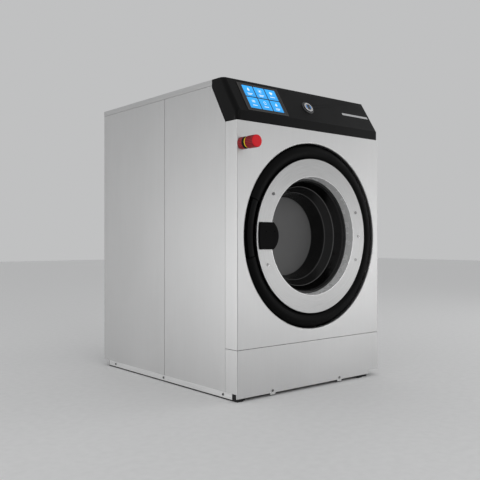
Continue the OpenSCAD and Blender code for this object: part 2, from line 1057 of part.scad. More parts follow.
module tub_supports() {
    color(c_dark)
    on_front(0, door_z)
        for (d = [150, 520])
            difference() {
                union() {
                    for (side = [-1, 1])
                        door_block(side * 230 - 30, side * 230 + 30, rail_h - door_z, -200, d, d + 30);
                    door_block(-240, 240, -350, -325, d + 5, d + 25);
                }
                disc(tub_r, d - 1, d + 31);
            }
}

module door_seal() {
    color(c_rubber)
    on_front(0, door_z) {
        washer(256, 222, 49.2, 53);
        washer(256, 251, 52, 73);
        washer(256, tub_mouth - 4, 71, tub_d0);
    }
}

module drum_shell() {
    color(c_steel)
    on_front(0, door_z) {
        difference() {
            washer(drum_r, drum_r - 1.5, drum_d0, drum_d1);
            for (row = [0 : 5])
                for (turn = [0 : 22.5 : 337.5])
                    rotate([0, 0, turn + (row % 2) * 11.25])
                        translate([drum_r - 6, 0, -drum_d0 - 60 - row * (drum_l - 120) / 5])
                            rotate([0, 90, 0])
                                cylinder(r = 3, h = 12, $fn = 16);
        }
    }
}

module drum_front() {
    color(c_steel)
    on_front(0, door_z) {
        washer(drum_r - 1.5, drum_mouth, drum_d0, drum_d0 + 1.5);
        washer(drum_mouth + 1.5, drum_mouth, drum_d0 - 8, drum_d0 + 1);
    }
}

module drum_lifters() {
    r0 = drum_r - 1.5;
    color(c_steel)
    on_front(0, door_z)
    intersection() {
        disc(r0, drum_d0, drum_d1);
        for (turn = [0 : 360 / lifter_count : 359])
            rotate([0, 0, turn + 90])
                translate([0, 0, -drum_d1 + 30])
                    linear_extrude(height = drum_l - 60)
                        difference() {
                            polygon([[r0 - 1.6, -42], [r0 - 60, -16], [r0 - 66, 0], [r0 - 60, 16],
                                     [r0 - 1.6, 42]]);
                            polygon([[r0, -37], [r0 - 57, -13], [r0 - 62, 0], [r0 - 57, 13],
                                     [r0, 37]]);
                        }
    }
}

module drum_back() {
    color(c_steel)
    on_front(0, door_z) {
        washer(drum_r - 1.5, 40, drum_d1 - 3, drum_d1);
        washer(70, shaft_r, drum_d1, drum_d1 + 18);
        // three-armed spider
        for (turn = [30 : 120 : 270])
            rotate([0, 0, turn])
                door_block(60, drum_r - 14, -16, 16, drum_d1, drum_d1 + 16);
    }
}

module drum_shaft() {
    color(c_steel)
    on_front(0, door_z) {
        disc(shaft_r, drum_d1 - 1, pulley_d0 + pulley_w + 6);
        disc(39.8, drum_d1 - 4, drum_d1 - 1);
    }
}

module bearing_housing() {
    color(c_dark)
    on_front(0, door_z)
        difference() {
            union() {
                disc(70, tub_d1 - 20, 745);
                disc(95, tub_d1, tub_d1 + 10);
            }
            disc(shaft_r + 4, 600, 800);
            disc(45, 650, 676);
            disc(45, 712, 760);
        }
}

module bearings() {
    color(c_steel)
    on_front(0, door_z)
        for (d = [651, 713])
            washer(45, shaft_r + run_gap, d, d + 24);
}

module drum_pulley() {
    color(c_dark)
    on_front(0, door_z) {
        difference() {
            disc(pulley_r, pulley_d0, pulley_d0 + pulley_w);
            disc(pulley_r - 12, pulley_d0 - 1, pulley_d0 + 10);
            disc(pulley_r - 12, pulley_d0 + 24, pulley_d0 + pulley_w + 1);
            disc(shaft_r, pulley_d0 - 1, pulley_d0 + pulley_w + 1);
            for (turn = [0 : 60 : 300])
                rotate([0, 0, turn])
                    translate([92, 0, -pulley_d0 - pulley_w])
                        cylinder(r = 28, h = pulley_w + 5);
        }
        washer(45, shaft_r, pulley_d0, pulley_d0 + pulley_w);
    }
}

// closed line round both pulleys, at a distance from their rims
function belt_loop(gap, a, lean, dx, dz) = concat(
    [for (i = [0 : belt_steps])
        let (t = a + 90 - lean + (180 + 2 * lean) * i / belt_steps)
            [(pulley_r + gap) * cos(t), (pulley_r + gap) * sin(t)]],
    [for (i = [0 : belt_steps])
        let (t = a - 90 + lean + (180 - 2 * lean) * i / belt_steps)
            [dx + (motor_pulley_r + gap) * cos(t), dz + (motor_pulley_r + gap) * sin(t)]]
);

module drive_belt() {
    dx = motor_x;
    dz = motor_z - door_z;
    lean = asin((pulley_r - motor_pulley_r) / sqrt(dx * dx + dz * dz));
    a = atan2(dz, dx);
    color(c_rubber)
    on_front(0, door_z)
        translate([0, 0, -pulley_d0 - pulley_w + 3])
            linear_extrude(height = pulley_w - 6)
                difference() {
                    polygon(belt_loop(belt_gap + belt_t, a, lean, dx, dz));
                    polygon(belt_loop(belt_gap, a, lean, dx, dz));
                }
}

module motor() {
    color(c_dark)
    on_front(motor_x, motor_z) {
        difference() {
            disc(58, 560, 752);
            disc(9.9 + run_gap, 735, 760);
            disc(50, 742, 760);
        }
        for (turn = [0 : 30 : 330])
            rotate([0, 0, turn])
                door_block(56, 64, -1.5, 1.5, 580, 740);
        // feet on the base frame's cross members
        for (side = [-1, 1])
            door_block(side * 45 - 12, side * 45 + 12, rail_h - motor_z, -36, 585, 735);
    }
}

module motor_pulley() {
    color(c_steel)
    on_front(motor_x, motor_z) {
        disc(9.9, 735.5, pulley_d0 + 1);
        disc(motor_pulley_r, pulley_d0, pulley_d0 + pulley_w);
    }
}

module drain_valve() {
    color(c_grey) {
        on_front(valve_x, valve_z) {
            disc(38, 420, 560);
            washer(44, 37, 440, 448);
            door_block(-90, -34, -22, 22, 460, 520);
        }
        // sump neck up to the tub
        difference() {
            translate([valve_x, front_y + 470, valve_z])
                cylinder(r = 30, h = 118);
            on_front(0, door_z)
                disc(tub_r, 400, 560);
        }
    }
}

module drain_pipe() {
    rear = cab_d + pipe_out;
    color(c_grey)
    difference() {
        union() {
            on_front(-250, 110)
                disc(drain_dia / 2, cab_d, rear);
            on_front(-250, 110)
                disc(drain_dia / 2 - 1, 620, rear - 5);
            on_front(-250, 110)
                disc(drain_dia / 2 + 5, 850, 860);
            // chamber between the valve and the outlet
            block([-288, front_y + 560, 74], [valve_x + 38, front_y + 650, 180]);
        }
        on_front(-250, 110)
            disc(drain_dia / 2 - 3, 640, rear + 1);
    }
}

module inlet_valves() {
    rear = cab_d + pipe_out;
    for (x = [70, 140]) {
        color(c_grey)
        on_front(x, 985) {
            difference() {
                disc(13.2, 850, rear);
                disc(9, 860, rear + 1);
            }
            washer(20, 12, 868, 878);
            door_block(-24, 24, -24, 30, 790, 850);
            door_block(-12, 12, 30, 56, 800, 838);
        }
    }
    color(c_grey)
    on_front(0, 985)
        door_block(60, 150, -6, 6, 770, 790);
}

module fill_hose() {
    // from the bottom of the dispenser into the top of the tub
    hose_z0 = door_z + 280;
    color(c_rubber)
    difference() {
        translate([disp_x + 60, disp_y0 + 120, hose_z0])
            cylinder(r = 24, h = cab_h - 6 - disp_h - hose_z0);
        on_front(0, door_z)
            disc(tub_r, 200, 400);
    }
}

module dispenser_box() {
    x0 = disp_x - disp_w / 2;
    y0 = disp_y0;
    z1 = cab_h - 6;
    wall = 3;
    bay = (disp_w - 5 * wall - 24) / 4;
    color(c_grey)
    difference() {
        union() {
            block([x0, y0, z1 - disp_h], [x0 + disp_w, y0 + disp_l, z1 - 4]);
            // ears for the lid pins
            for (x = [x0 + 0.5, x0 + disp_w - 4.5])
                block([x, lid_axis_y - 6, z1 - 8], [x + 4, lid_axis_y + 6, lid_axis_z + 4.4]);
        }
        for (i = [0 : 3])
            block([x0 + 12 + wall + i * (bay + wall), y0 + 12, z1 - disp_h + wall],
                  [x0 + 12 + wall + i * (bay + wall) + bay, y0 + disp_l - 24, z1 + 10]);
        // seat of the lid
        translate([x0 - 1, lid_axis_y, lid_axis_z])
            rotate([0, 90, 0])
                cylinder(r = lid_pin_r + run_gap, h = disp_w + 2, $fn = 48);
    }
}

module dispenser_lid() {
    x0 = disp_x - disp_w / 2;
    color(c_black) {
        block([x0 + 1, disp_y0 + 1, cab_h - lid_t], [x0 + disp_w - 1, lid_axis_y - 8, cab_h]);
        block([x0 + 6, lid_axis_y - 9, cab_h - lid_t], [x0 + disp_w - 6, lid_axis_y + 3, cab_h]);
        block([x0 + 6, lid_axis_y - 3, lid_axis_z - 3], [x0 + disp_w - 6, lid_axis_y + 3, cab_h - 1]);
        // pull lip inside the front edge
        block([x0 + 90, disp_y0 + 4, cab_h - 8], [x0 + disp_w - 90, disp_y0 + 7, cab_h - 2]);
        translate([x0 + 1, lid_axis_y, lid_axis_z])
            rotate([0, 90, 0])
                cylinder(r = lid_pin_r, h = disp_w - 2, $fn = 48);
    }
}

module inverter() {
    color(c_dark) {
        block([40, -120, 905], [330, 180, 1010]);
        for (i = [0 : 9])
            block([60 + i * 25, -110, 1009], [66 + i * 25, 170, 1030]);
        // brackets to the right side panel
        for (y = [-90, 140])
            block([329, y, 930], [half_w - sheet_t, y + 20, 934]);
    }
}

module cable_gland() {
    color(c_black)
    translate([270, back_y, 985])
        rotate([-90, 0, 0])
            difference() {
                union() {
                    translate([0, 0, -14])
                        cylinder(r = 12.4, h = 20);
                    cylinder(r = 17, h = 8, $fn = 6);
                    translate([0, 0, 8])
                        cylinder(r = 14, h = 16);
                }
                translate([0, 0, -20])
                    cylinder(r = 8, h = 60);
            }
}

base_frame();
plinth_strips();
panel_screws();
side_left_front();
side_left_rear();
side_right_front();
side_right_rear();
front_panel();
lower_front_panel();
back_panel();
service_cover();
top_panel();
fascia();
display_bezel();
display_screen();
knob_collar();
knob_stem();
knob();
estop_base();
estop_collar();
estop_stem();
estop_head();
estop_contacts();
door_surround();
door_ring();
door_lip();
door_frame();
door_gasket();
door_glass();
door_screws();
hinge_leaf();
door_pins();
hinge_bracket();
handle_grip();
handle_hub();
latch_hook();
door_lock();
tub_shell();
tub_ends();
tub_supports();
door_seal();
drum_shell();
drum_front();
drum_lifters();
drum_back();
drum_shaft();
bearing_housing();
bearings();
drum_pulley();
drive_belt();
motor();
motor_pulley();
drain_valve();
drain_pipe();
inlet_valves();
fill_hose();
dispenser_box();
dispenser_lid();
inverter();
cable_gland();
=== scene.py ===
import bpy
import bmesh
import math
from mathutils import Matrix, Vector


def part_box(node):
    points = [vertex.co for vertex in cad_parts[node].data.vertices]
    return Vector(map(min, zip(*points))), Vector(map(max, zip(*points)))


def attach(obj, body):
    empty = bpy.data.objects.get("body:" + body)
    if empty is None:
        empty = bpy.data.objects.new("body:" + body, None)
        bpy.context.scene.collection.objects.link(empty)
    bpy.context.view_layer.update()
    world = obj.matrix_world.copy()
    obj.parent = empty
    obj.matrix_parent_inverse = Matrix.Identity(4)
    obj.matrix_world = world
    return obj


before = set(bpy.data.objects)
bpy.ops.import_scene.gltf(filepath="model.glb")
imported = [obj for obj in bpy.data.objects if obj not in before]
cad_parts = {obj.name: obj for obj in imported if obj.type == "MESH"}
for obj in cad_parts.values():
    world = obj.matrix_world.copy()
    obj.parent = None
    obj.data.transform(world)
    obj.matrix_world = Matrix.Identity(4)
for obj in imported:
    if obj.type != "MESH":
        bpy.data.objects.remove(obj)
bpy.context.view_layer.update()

FRONT_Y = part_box("front_panel")[0].y
DOOR_Z = (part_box("door_ring")[0].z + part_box("door_ring")[1].z) / 2


# ---------------------------------------------------------------- materials

class Nodes:
    """Small helper that builds a Principled material node by node."""

    def __init__(self, name):
        self.mat = bpy.data.materials.new(name)
        self.mat.use_nodes = True
        self.tree = self.mat.node_tree
        self.bsdf = self.tree.nodes["Principled BSDF"]
        self.coord = self.tree.nodes.new("ShaderNodeTexCoord")

    def set(self, **values):
        for key, value in values.items():
            socket = self.bsdf.inputs[key.replace("_", " ")]
            if isinstance(value, (tuple, list)) and len(value) == 3:
                value = (*value, 1.0)
            socket.default_value = value

    def new(self, kind, **values):
        n = self.tree.nodes.new(kind)
        for key, value in values.items():
            if hasattr(n, key):
                setattr(n, key, value)
            else:
                n.inputs[key.replace("_", " ")].default_value = value
        return n

    def link(self, a, b):
        self.tree.links.new(a, b)

    def mapped(self, scale):
        m = self.new("ShaderNodeMapping")
        m.inputs["Scale"].default_value = scale
        self.link(self.coord.outputs["Object"], m.inputs["Vector"])
        return m.outputs["Vector"]

    def noise(self, vector, scale, detail=4.0, rough=0.55):
        n = self.new("ShaderNodeTexNoise", Scale=scale, Detail=detail, Roughness=rough)
        self.link(vector, n.inputs["Vector"])
        return n.outputs["Fac"]

    def ramp(self, fac, stops):
        r = self.new("ShaderNodeValToRGB")
        self.link(fac, r.inputs["Fac"])
        els = r.color_ramp.elements
        while len(els) < len(stops):
            els.new(0.5)
        for el, (pos, col) in zip(els, stops):
            el.position = pos
            if not isinstance(col, (tuple, list)):
                col = (col, col, col)
            el.color = (*col[:3], 1.0)
        return r.outputs["Color"]

    def mix(self, a, b, fac, blend="MIX"):
        m = self.new("ShaderNodeMix", data_type="RGBA", blend_type=blend)
        for value, socket in ((fac, m.inputs[0]), (a, m.inputs[6]), (b, m.inputs[7])):
            if isinstance(value, bpy.types.NodeSocket):
                self.link(value, socket)
            else:
                socket.default_value = (*value, 1.0) if isinstance(value, (tuple, list)) else value
        return m.outputs[2]

    def math(self, op, a, b=0.0):
        m = self.new("ShaderNodeMath", operation=op)
        for value, socket in zip((a, b), m.inputs):
            if isinstance(value, bpy.types.NodeSocket):
                self.link(value, socket)
            else:
                socket.default_value = value
        return m.outputs[0]

    def bump(self, height, strength, distance):
        b = self.new("ShaderNodeBump", Strength=strength, Distance=distance)
        self.link(height, b.inputs["Height"])
        self.link(b.outputs["Normal"], self.bsdf.inputs["Normal"])


def brushed(name, base, rough, grain, contrast=0.05):
    """Brushed sheet: long fine streaks along one axis, and faint cloudy variation."""
    n = Nodes(name)
    n.set(Metallic=1.0, Roughness=rough)
    fine = n.noise(n.mapped(tuple(9.0 if a == grain else 1100.0 for a in "XYZ")), 1.0, 3.0, 0.6)
    broad = n.noise(n.mapped(tuple(4.0 if a == grain else 260.0 for a in "XYZ")), 1.0, 3.0, 0.5)
    cloud = n.noise(n.coord.outputs["Object"], 2.2, 3.0, 0.5)
    streak = n.math("ADD", n.math("MULTIPLY", fine, 0.65), n.math("MULTIPLY", broad, 0.35))
    lo = tuple(c * (1.0 - contrast) for c in base)
    hi = tuple(min(1.0, c * (1.0 + contrast)) for c in base)
    colour = n.ramp(streak, [(0.30, lo), (0.70, hi)])
    colour = n.mix(colour, n.ramp(cloud, [(0.3, 0.95), (0.7, 1.0)]), 1.0, "MULTIPLY")
    n.link(colour, n.bsdf.inputs["Base Color"])
    n.link(n.ramp(streak, [(0.3, rough - 0.05), (0.7, rough + 0.07)]), n.bsdf.inputs["Roughness"])
    n.bump(streak, 0.10, 0.0002)
    return n.mat


def turned(name, base, rough, axis, centre, aniso=0.6, contrast=0.10):
    """Steel brushed in circles about an axis through centre, such as the door ring."""
    n = Nodes(name)
    n.set(Metallic=1.0, Roughness=rough, Anisotropic=aniso)
    shift = n.new("ShaderNodeVectorMath", operation="SUBTRACT")
    n.link(n.coord.outputs["Object"], shift.inputs[0])
    shift.inputs[1].default_value = centre
    parts = n.new("ShaderNodeSeparateXYZ")
    n.link(shift.outputs[0], parts.inputs[0])
    u, v = [parts.outputs[a] for a in "XYZ" if a != axis]
    radius = n.math("SQRT", n.math("ADD", n.math("MULTIPLY", u, u), n.math("MULTIPLY", v, v)))
    angle = n.math("ARCTAN2", v, u)
    both = n.new("ShaderNodeCombineXYZ")
    n.link(n.math("MULTIPLY", radius, 1500.0), both.inputs[0])
    n.link(n.math("MULTIPLY", angle, 3.0), both.inputs[1])
    streak = n.noise(both.outputs[0], 1.0, 3.0, 0.6)
    lo = tuple(c * (1.0 - contrast) for c in base)
    hi = tuple(min(1.0, c * (1.0 + contrast)) for c in base)
    n.link(n.ramp(streak, [(0.3, lo), (0.7, hi)]), n.bsdf.inputs["Base Color"])
    n.link(n.ramp(streak, [(0.3, rough - 0.05), (0.7, rough + 0.06)]), n.bsdf.inputs["Roughness"])
    tangent = n.new("ShaderNodeTangent", direction_type="RADIAL", axis=axis)
    n.link(tangent.outputs[0], n.bsdf.inputs["Tangent"])
    n.bump(streak, 0.10, 0.0003)
    return n.mat


def plastic(name, base, rough, grain=900.0, bump=0.10, coat=0.0, spread=0.18, gloss=0.5):
    """Moulded plastic or powder coat: fine grain, faint smudges in the gloss."""
    n = Nodes(name)
    n.set(Metallic=0.0, Roughness=rough, Coat_Weight=coat, Coat_Roughness=0.12)
    n.bsdf.inputs["Specular IOR Level"].default_value = gloss
    fine = n.noise(n.coord.outputs["Object"], grain, 2.0, 0.5)
    smudge = n.noise(n.coord.outputs["Object"], 9.0, 4.0, 0.6)
    lo = tuple(c * (1.0 - spread) for c in base)
    hi = tuple(c * (1.0 + spread) for c in base)
    n.link(n.mix(n.ramp(smudge, [(0.35, lo), (0.65, hi)]), n.ramp(fine, [(0.3, 0.85), (0.7, 1.0)]),
                 1.0, "MULTIPLY"), n.bsdf.inputs["Base Color"])
    n.link(n.ramp(smudge, [(0.3, max(0.02, rough - 0.06)), (0.7, rough + 0.08)]),
           n.bsdf.inputs["Roughness"])
    n.bump(fine, bump, 0.0003)
    return n.mat


def cast(name, base, rough):
    """Cast metal with a coarse skin."""
    n = Nodes(name)
    n.set(Metallic=0.85, Roughness=rough)
    coarse = n.noise(n.coord.outputs["Object"], 260.0, 5.0, 0.6)
    patch = n.noise(n.coord.outputs["Object"], 14.0, 3.0, 0.5)
    n.link(n.mix(n.ramp(patch, [(0.3, tuple(c * 0.8 for c in base)), (0.7, base)]),
                 n.ramp(coarse, [(0.3, 0.8), (0.7, 1.0)]), 1.0, "MULTIPLY"),
           n.bsdf.inputs["Base Color"])
    n.link(n.ramp(coarse, [(0.3, rough - 0.08), (0.7, rough + 0.1)]), n.bsdf.inputs["Roughness"])
    n.bump(coarse, 0.35, 0.0006)
    return n.mat


def rubber(name, base):
    """Dull rubber with a little pale dust."""
    rough = 0.62
    n = Nodes(name)
    n.set(Metallic=0.0, Roughness=rough)
    fine = n.noise(n.coord.outputs["Object"], 600.0, 3.0, 0.6)
    dust = n.noise(n.coord.outputs["Object"], 22.0, 4.0, 0.65)
    n.link(n.ramp(dust, [(0.35, base), (0.75, tuple(c * 1.5 for c in base))]),
           n.bsdf.inputs["Base Color"])
    n.link(n.ramp(dust, [(0.3, rough - 0.08), (0.7, rough + 0.1)]), n.bsdf.inputs["Roughness"])
    n.bump(fine, 0.18, 0.0003)
    return n.mat


def glow(name, base, strength):
    """Backlit face: a soft vertical gradient with a fine mottle."""
    n = Nodes(name)
    n.set(Roughness=0.12)
    parts = n.new("ShaderNodeSeparateXYZ")
    n.link(n.coord.outputs["Generated"], parts.inputs[0])
    colour = n.ramp(parts.outputs["Z"], [(0.0, tuple(c * 0.82 for c in base)), (1.0, base)])
    mottle = n.noise(n.coord.outputs["Object"], 700.0, 1.0, 0.4)
    colour = n.mix(colour, n.ramp(mottle, [(0.2, 0.94), (0.8, 1.0)]), 1.0, "MULTIPLY")
    n.link(colour, n.bsdf.inputs["Base Color"])
    n.link(colour, n.bsdf.inputs["Emission Color"])
    n.bsdf.inputs["Emission Strength"].default_value = strength
    return n.mat


BAND_SPAN = 0.2     # depth that the bands of the bowl are measured against
FLUTES = 220        # flutes round the last step of the bowl


def bowl_glass(name, front_y, centre_z):
    """Door bowl: printed black at the rim, then smoked glass with fine flutes along its last step
    and a pale flat end. The two thin pale lines at the steps are painted highlights, and the
    colour stripes along the flutes are painted shade and highlight. The bands follow the depth
    behind the front plane."""
    n = Nodes(name)
    n.set(Metallic=0.0, Roughness=0.10, IOR=1.45)
    parts = n.new("ShaderNodeSeparateXYZ")
    n.link(n.coord.outputs["Object"], parts.inputs[0])
    depth = n.math("SUBTRACT", parts.outputs["Y"], front_y)
    along = n.math("DIVIDE", depth, BAND_SPAN)
    # depth bands: the pale stops at 0.347-0.358 and 0.488-0.500 are painted highlights on the two
    # step edges; the other stops are the black print, the smoked glass and the pale flat end
    colour = n.ramp(along, [
        (0.000, 0.022), (0.205, 0.022), (0.215, 0.0022), (0.343, 0.0022), (0.347, 0.110),
        (0.358, 0.110), (0.363, 0.0110), (0.484, 0.0130), (0.488, 0.070), (0.500, 0.070),
        (0.506, 0.020), (0.778, 0.024), (0.786, 0.150)])
    film = n.noise(n.coord.outputs["Object"], 5.0, 3.0, 0.5)
    height = n.math("SUBTRACT", parts.outputs["Z"], centre_z)
    angle = n.math("ARCTAN2", height, parts.outputs["X"])
    flute = n.math("SINE", n.math("MULTIPLY", angle, float(FLUTES)))
    mask = n.ramp(along, [(0.0, 0.0), (0.51, 0.0), (0.53, 1.0), (0.76, 1.0), (0.78, 0.0)])
    # stripes across the flutes in the colour: painted shade and highlight of the flute ridges
    flute_shade = n.ramp(flute, [(0.0, 0.45), (1.0, 1.0)])
    colour = n.mix(colour, n.mix((1.0, 1.0, 1.0), flute_shade, mask), 1.0, "MULTIPLY")
    colour = n.mix(colour, n.ramp(film, [(0.3, 0.86), (0.7, 1.0)]), 1.0, "MULTIPLY")
    n.link(colour, n.bsdf.inputs["Base Color"])
    n.bsdf.inputs["Specular IOR Level"].default_value = 0.22
    smooth = n.ramp(film, [(0.3, 0.12), (0.7, 0.20)])
    n.link(n.mix(smooth, n.ramp(film, [(0.3, 0.50), (0.7, 0.60)]),
                 n.ramp(along, [(0.0, 0.0), (0.778, 0.0), (0.786, 1.0)])),
           n.bsdf.inputs["Roughness"])
    n.bump(n.math("MULTIPLY", flute, mask), 0.45, 0.0006)
    return n.mat


RIDGES = 24         # finger ridges round the emergency stop


def estop_red(name, centre, front_y, dark_from=1.0):
    """Red plastic with finger ridges round the side, painted darker and lighter across each ridge
    as painted shade and highlight, and a front face painted brighter than the side as painted
    light. Past dark_from, in tenths of a metre out from the panel, the red turns to black, painted
    shade in the groove next to the yellow collar."""
    n = Nodes(name)
    n.set(Metallic=0.0, Roughness=0.42)
    n.bsdf.inputs["Specular IOR Level"].default_value = 0.22
    parts = n.new("ShaderNodeSeparateXYZ")
    n.link(n.coord.outputs["Object"], parts.inputs[0])
    out = n.math("DIVIDE", n.math("SUBTRACT", front_y, parts.outputs["Y"]), 0.1)
    side = n.math("SUBTRACT", parts.outputs["X"], centre[0])
    height = n.math("SUBTRACT", parts.outputs["Z"], centre[2])
    angle = n.math("ARCTAN2", height, side)
    ridge = n.math("SINE", n.math("MULTIPLY", angle, float(RIDGES)))
    smudge = n.noise(n.coord.outputs["Object"], 40.0, 4.0, 0.6)
    # across each ridge the red goes from dark to light: painted shade and highlight on the ridge
    # sides
    body = n.ramp(ridge, [(0.0, (0.16, 0.005, 0.008)), (1.0, (0.42, 0.008, 0.014))])
    # the front face is a brighter red than the side: painted light on the face turned to the lamps
    face = n.ramp(smudge, [(0.3, (0.66, 0.008, 0.018)), (0.7, (0.74, 0.012, 0.022))])
    colour = n.mix(body, face, n.ramp(out, [(0.0, 0.0), (0.725, 0.0), (0.750, 1.0)]))
    # past dark_from the colour turns black: painted shade in the groove between the base and the
    # yellow collar
    if dark_from < 1.0:
        colour = n.mix(colour, (0.003, 0.003, 0.003),
                       n.ramp(out, [(0.0, 0.0), (dark_from, 0.0), (dark_from + 0.004, 1.0)]))
    n.link(colour, n.bsdf.inputs["Base Color"])
    n.link(n.ramp(smudge, [(0.3, 0.36), (0.7, 0.50)]), n.bsdf.inputs["Roughness"])
    n.bump(n.math("MULTIPLY", ridge, n.ramp(out, [(0.0, 1.0), (0.70, 1.0), (0.73, 0.0)])),
           0.5, 0.0008)
    return n.mat


def polished(name, base, rough=0.07, metallic=1.0):
    """Polished metal with a faint film on it."""
    n = Nodes(name)
    n.set(Metallic=metallic, Roughness=rough)
    film = n.noise(n.coord.outputs["Object"], 30.0, 4.0, 0.6)
    fine = n.noise(n.mapped((200.0, 900.0, 200.0)), 1.0, 2.0, 0.5)
    n.link(n.ramp(film, [(0.3, tuple(c * 0.93 for c in base)), (0.7, base)]),
           n.bsdf.inputs["Base Color"])
    n.link(n.ramp(film, [(0.3, rough * 0.6), (0.7, rough * 1.8)]), n.bsdf.inputs["Roughness"])
    n.bump(fine, 0.02, 0.0002)
    return n.mat


door_centre = (0.0, FRONT_Y, DOOR_Z)
estop_centre = (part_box("estop_head")[0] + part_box("estop_head")[1]) / 2

M = {
    "sheet_side": brushed("steel_side", (0.55, 0.55, 0.55), 0.46, "Z"),
    "sheet_front": brushed("steel_front", (0.585, 0.585, 0.585), 0.46, "Z"),
    "sheet_top": brushed("steel_top", (0.52, 0.52, 0.52), 0.46, "Y"),
    "zinc": brushed("zinc_sheet", (0.46, 0.47, 0.48), 0.5, "X", 0.05),
    "strip": brushed("steel_strip", (0.86, 0.86, 0.86), 0.30, "Y", 0.04),
    "ring": turned("steel_ring", (0.42, 0.42, 0.42), 0.42, "Y", door_centre, 0.40, 0.16),
    "lathe": turned("steel_turned", (0.50, 0.50, 0.51), 0.28, "Y", door_centre, 0.4),
    "tub": brushed("steel_tub", (0.42, 0.42, 0.43), 0.38, "Y"),
    "drum": brushed("steel_drum", (0.55, 0.55, 0.56), 0.25, "Y"),
    "chrome": polished("chrome", (0.72, 0.72, 0.73)),
    "lip": polished("steel_lip", (0.86, 0.86, 0.86), 0.20, 0.22),
    "bead": polished("steel_bead", (0.40, 0.40, 0.40), 0.30),
    "screw": polished("screw_steel", (0.22, 0.22, 0.22), 0.22),
    "plain_steel": brushed("steel_plain", (0.45, 0.45, 0.46), 0.35, "Z"),
    "dark_paint": plastic("dark_paint", (0.010, 0.010, 0.011), 0.50, 500.0, 0.15, gloss=0.20),
    "fascia": plastic("fascia_black", (0.0035, 0.0035, 0.0037), 0.42, 1100.0, 0.08, gloss=0.10),
    "black": plastic("black_plastic", (0.0030, 0.0030, 0.0032), 0.45, 1100.0, 0.10, gloss=0.08),
    "black_soft": plastic("black_soft", (0.0020, 0.0020, 0.0021), 0.50, 1100.0, 0.14, gloss=0.06),
    "hub": plastic("hub_black", (0.0022, 0.0022, 0.0024), 0.60, 700.0, 0.25, gloss=0.06),
    "grip": plastic("grip_black", (0.0024, 0.0024, 0.0026), 0.50, 900.0, 0.14, gloss=0.07),
    "grey_plastic": plastic("grey_plastic", (0.055, 0.056, 0.058), 0.45),
    "collar": plastic("collar_grey", (0.035, 0.035, 0.036), 0.38, 900.0, 0.05),
    "bezel": plastic("bezel_grey", (0.050, 0.048, 0.046), 0.40, 1200.0, 0.05, gloss=0.2),
    "screen": plastic("screen_glass", (0.020, 0.020, 0.021), 0.16, 300.0, 0.0,
                      spread=0.3, gloss=0.3),
    "red": estop_red("estop_red", estop_centre, FRONT_Y),
    "red_with_groove_shade": estop_red("estop_base_red", estop_centre, FRONT_Y, 0.205),
    "yellow": plastic("yellow_plastic", (0.95, 0.72, 0.01), 0.42, 900.0, 0.06,
                      spread=0.08, gloss=0.25),
    "pale_plastic": plastic("pale_plastic", (0.45, 0.46, 0.46), 0.5),
    "rubber": rubber("rubber_dark", (0.020, 0.021, 0.022)),
    "gasket": rubber("rubber_gasket", (0.016, 0.016, 0.0165)),
    "seal": rubber("rubber_seal", (0.022, 0.023, 0.024)),
    "iron": cast("cast_iron", (0.045, 0.046, 0.05), 0.6),
    "alloy": cast("cast_alloy", (0.42, 0.425, 0.43), 0.45),
    "glass": bowl_glass("bowl_glass", FRONT_Y, DOOR_Z),
    "lens": plastic("knob_lens", (0.004, 0.005, 0.006), 0.10, 300.0, 0.0,
                    coat=0.3, spread=0.3),
    "tile": glow("tile_blue", (0.016, 0.36, 0.86), 0.60),
    "icon": glow("icon_white", (0.70, 0.85, 1.0), 0.62),
    # blue glow for the knob's two arcs: LED light of the dial, painted only where its glints fall
    "led_glint": glow("led_blue_glint", (0.020, 0.22, 0.60), 0.6),
}

CAD_MATERIALS = {
    "sheet_side": ["side_left_front", "side_left_rear", "side_right_front", "side_right_rear"],
    "sheet_front": ["front_panel", "lower_front_panel"],
    "sheet_top": ["top_panel"],
    "zinc": ["back_panel", "service_cover"],
    "strip": ["plinth_strips"],
    "screw": ["panel_screws", "door_screws"],
    "chrome": ["knob", "door_pins"],
    "lip": ["door_lip"],
    "ring": ["door_ring"],
    "lathe": ["drum_shaft", "bearings", "motor_pulley"],
    "tub": ["tub_shell", "tub_ends"],
    "drum": ["drum_shell", "drum_front", "drum_lifters", "drum_back"],
    "plain_steel": ["hinge_leaf", "latch_hook", "knob_stem"],
    "dark_paint": ["base_frame", "tub_supports", "hinge_bracket", "motor"],
    "fascia": ["fascia"],
    "black": ["cable_gland", "dispenser_lid"],
    "black_soft": ["door_surround", "door_lock", "estop_stem", "estop_contacts"],
    "grip": ["handle_grip"],
    "hub": ["handle_hub"],
    "collar": ["knob_collar"],
    "grey_plastic": ["drain_valve", "drain_pipe"],
    "bezel": ["display_bezel"],
    "screen": ["display_screen"],
    "red": ["estop_head"],
    "red_with_groove_shade": ["estop_base"],
    "yellow": ["estop_collar"],
    "pale_plastic": ["dispenser_box", "inlet_valves"],
    "rubber": ["drive_belt", "fill_hose"],
    "gasket": ["door_gasket"],
    "seal": ["door_seal"],
    "iron": ["bearing_housing"],
    "alloy": ["door_frame", "drum_pulley", "inverter"],
    "glass": ["door_glass"],
}

for key, names in CAD_MATERIALS.items():
    for name in names:
        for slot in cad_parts[name].material_slots:
            slot.material = M[key]


# ---------------------------------------------------------------- geometry helpers

CREASE = math.radians(32.0)     # edges sharper than this stay sharp


def obj_from_bmesh(bm, name, material, smooth=True):
    """Mesh object from a bmesh, with one material."""
    me = bpy.data.meshes.new(name)
    bm.normal_update()
    bm.to_mesh(me)
    bm.free()
    ob = bpy.data.objects.new(name, me)
    bpy.context.scene.collection.objects.link(ob)
    me.materials.append(material)
    if smooth:
        for p in me.polygons:
            p.use_smooth = True
        me.set_sharp_from_angle(angle=CREASE)
    return ob


